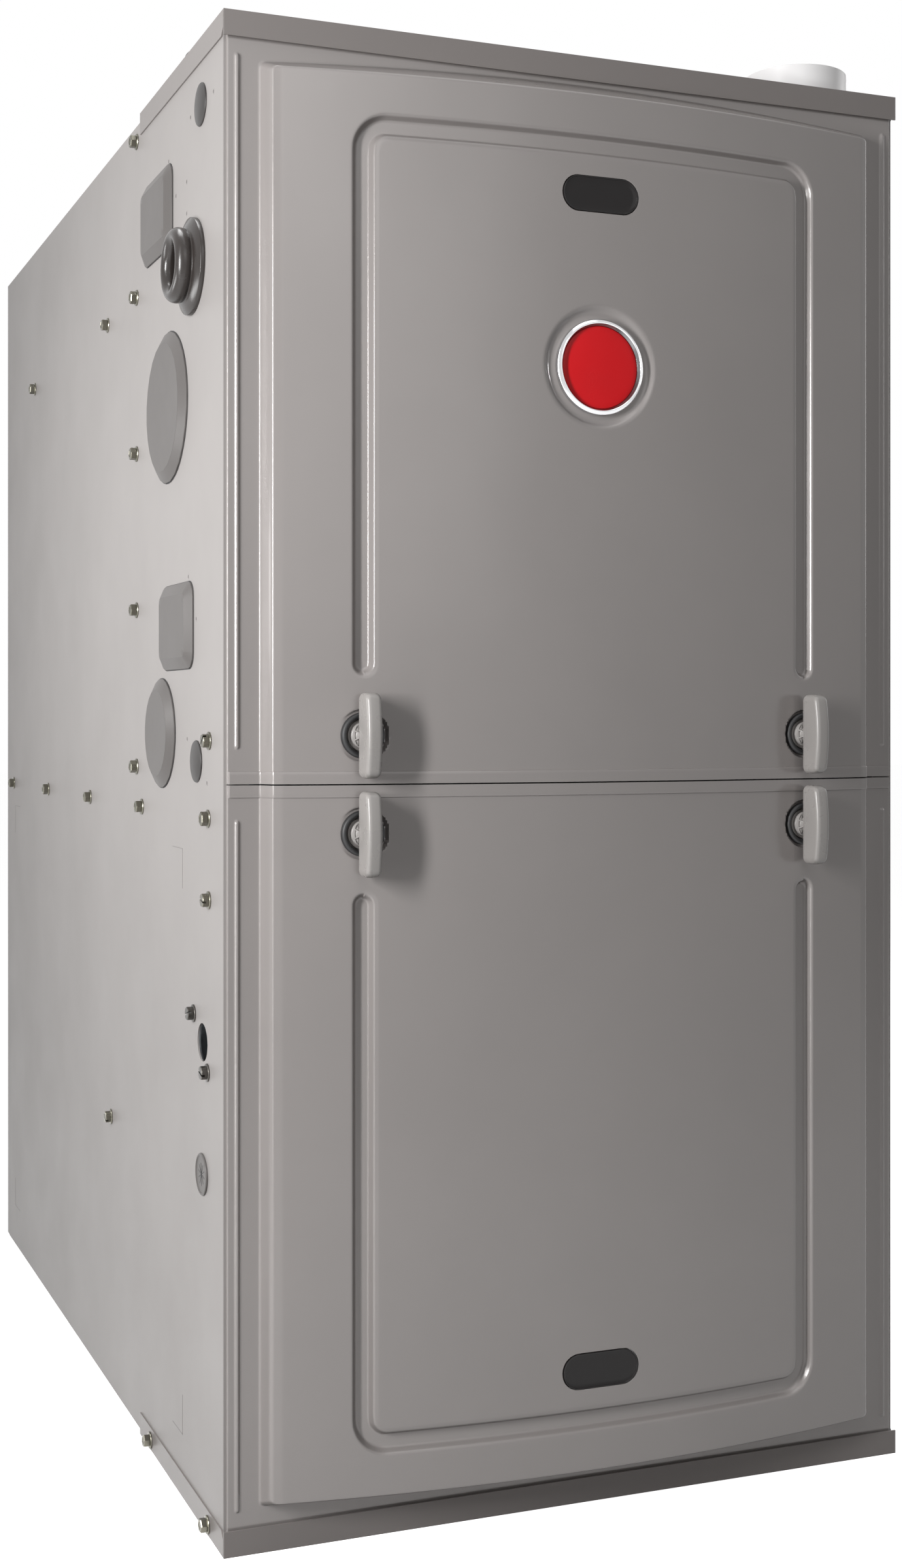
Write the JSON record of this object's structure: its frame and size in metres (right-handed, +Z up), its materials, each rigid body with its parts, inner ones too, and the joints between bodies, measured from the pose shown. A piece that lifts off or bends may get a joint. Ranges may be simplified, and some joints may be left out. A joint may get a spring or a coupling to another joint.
{
  "type": "upflow condensing gas furnace",
  "caption": "Upright sheet-steel warm-air gas furnace with two bowed tilt-out doors, quarter-turn latches, burners, heat exchanger, inducer and blower.",
  "frame": {"origin": "centre of the cabinet's footprint on the floor, in the plane of the casing's bottom flange", "axes": "+X to the right as seen from the front, +Y from the doors to the back, +Z up"},
  "size_m": [0.4632, 0.7607, 0.885],
  "materials": {
    "case_paint": "satin enamel",
    "door_paint": "satin enamel",
    "cap_paint": "satin enamel",
    "cover_paint": "satin enamel",
    "galvanised": "spangled zinc",
    "aluminised": "dull",
    "coil_fins": "bright fins",
    "steel": "satin",
    "black_iron": "dull",
    "cast_aluminium": "cast",
    "zinc_plate": "zinc plated",
    "screw_dark": "dark plated",
    "black_plastic": "moulded",
    "motor_paint": "gloss enamel",
    "white_pvc": "satin",
    "black_rubber": "matte",
    "grey_rubber": "satin",
    "board_green": "solder mask",
    "transformer_core": "varnished",
    "ceramic": "ceramic",
    "latch_plastic": "satin",
    "smoked_glass": "polished",
    "badge_trim": "polished",
    "insulation": "foil-faced fibre",
    "button_red": "gloss",
    "white_plastic": "satin"
  },
  "bodies": {
    "cabinet": {"casing_wrap": "case_paint", "side_walls": "case_paint", "top_cap": "cap_paint", "base_rail": "cap_paint", "center_rail": "galvanised", "blower_deck": "galvanised", "vestibule_panel": "galvanised", "primary_heat_exchanger": "aluminised", "secondary_coil": "coil_fins", "collector_box": "black_plastic", "burner_box": "galvanised", "burners": "aluminised", "gas_manifold": "black_iron", "gas_valve": "cast_aluminium", "igniter": "ceramic", "flame_sensor": "ceramic", "inducer_housing": "black_plastic", "inducer_motor": "motor_paint", "pressure_switch": "black_plastic", "pressure_tube": "black_rubber", "vent_pipe": "white_pvc", "vent_socket": "white_pvc", "air_inlet_collar": "black_rubber", "side_grommet": "grey_rubber", "condensate_trap": "black_plastic", "drain_hose": "black_rubber", "blower_housing": "galvanised", "blower_motor": "motor_paint", "motor_bracket": "galvanised", "control_panel": "galvanised", "control_board": "board_green", "transformer": "transformer_core", "junction_box": "galvanised", "door_switch": "black_plastic", "limit_switch": "black_plastic", "rollout_switch": "black_plastic", "latch_keepers": "zinc_plate", "round_covers": "cover_paint", "hatch_covers": "cover_paint", "knockout_plugs": "cover_paint", "cable_grommets": "cover_paint", "panel_screws": "zinc_plate"},
    "upper_door": {"upper_door": "door_paint", "upper_door_liner": "insulation", "upper_sight_glass": "smoked_glass", "badge": "badge_trim", "upper_latch_rings": "black_rubber"},
    "lower_door": {"lower_door": "door_paint", "lower_door_liner": "insulation", "lower_sight_glass": "smoked_glass", "lower_latch_rings": "black_rubber"},
    "upper_left_latch": {"upper_left_latch": "latch_plastic"},
    "upper_right_latch": {"upper_right_latch": "latch_plastic"},
    "lower_left_latch": {"lower_left_latch": "latch_plastic"},
    "lower_right_latch": {"lower_right_latch": "latch_plastic"},
    "gas_knob": {"gas_knob": "button_red"},
    "inducer_wheel": {"inducer_wheel": "steel"},
    "blower_wheel": {"blower_wheel": "galvanised"},
    "switch_plunger": {"switch_plunger": "white_plastic"},
    "reset_button": {"reset_button": "button_red"}
  },
  "joints": [
    {"name": "upper_door_tilt", "type": "hinge", "parent": "cabinet", "child": "upper_door", "pos_m": [0, -0.359, 0.854], "axis": [-1, 0, 0], "range_deg": [0, 20]},
    {"name": "lower_door_tilt", "type": "hinge", "parent": "cabinet", "child": "lower_door", "pos_m": [0, -0.359, 0.012], "axis": [1, 0, 0], "range_deg": [0, 20]},
    {"name": "upper_left_latch_turn", "type": "hinge", "parent": "upper_door", "child": "upper_left_latch", "pos_m": [-0.1448, -0.3757, 0.4597], "axis": [0, 1, 0], "range_deg": [0, 90]},
    {"name": "upper_right_latch_turn", "type": "hinge", "parent": "upper_door", "child": "upper_right_latch", "pos_m": [0.1448, -0.3757, 0.4597], "axis": [0, -1, 0], "range_deg": [0, 90]},
    {"name": "lower_left_latch_turn", "type": "hinge", "parent": "lower_door", "child": "lower_left_latch", "pos_m": [-0.1448, -0.3757, 0.4043], "axis": [0, 1, 0], "range_deg": [0, 90]},
    {"name": "lower_right_latch_turn", "type": "hinge", "parent": "lower_door", "child": "lower_right_latch", "pos_m": [0.1448, -0.3757, 0.4043], "axis": [0, -1, 0], "range_deg": [0, 90]},
    {"name": "gas_knob_turn", "type": "hinge", "parent": "cabinet", "child": "gas_knob", "pos_m": [-0.148, -0.325, 0.737], "axis": [0, 1, 0], "range_deg": [0, 90]},
    {"name": "inducer_wheel_spin", "type": "hinge", "parent": "cabinet", "child": "inducer_wheel", "pos_m": [-0.02, -0.2181, 0.51], "axis": [0, 1, 0], "continuous": true},
    {"name": "blower_wheel_spin", "type": "hinge", "parent": "cabinet", "child": "blower_wheel", "pos_m": [0, 0.06, 0.205], "axis": [1, 0, 0], "continuous": true},
    {"name": "switch_plunger_press", "type": "slide", "parent": "cabinet", "child": "switch_plunger", "axis": [0, 1, 0], "range_m": [0, 0.003], "stiffness_N_per_m": 200, "springref_m": -0.001},
    {"name": "reset_button_press", "type": "slide", "parent": "cabinet", "child": "reset_button", "axis": [0, 0, -1], "range_m": [0, 0.002], "stiffness_N_per_m": 200}
  ]
}
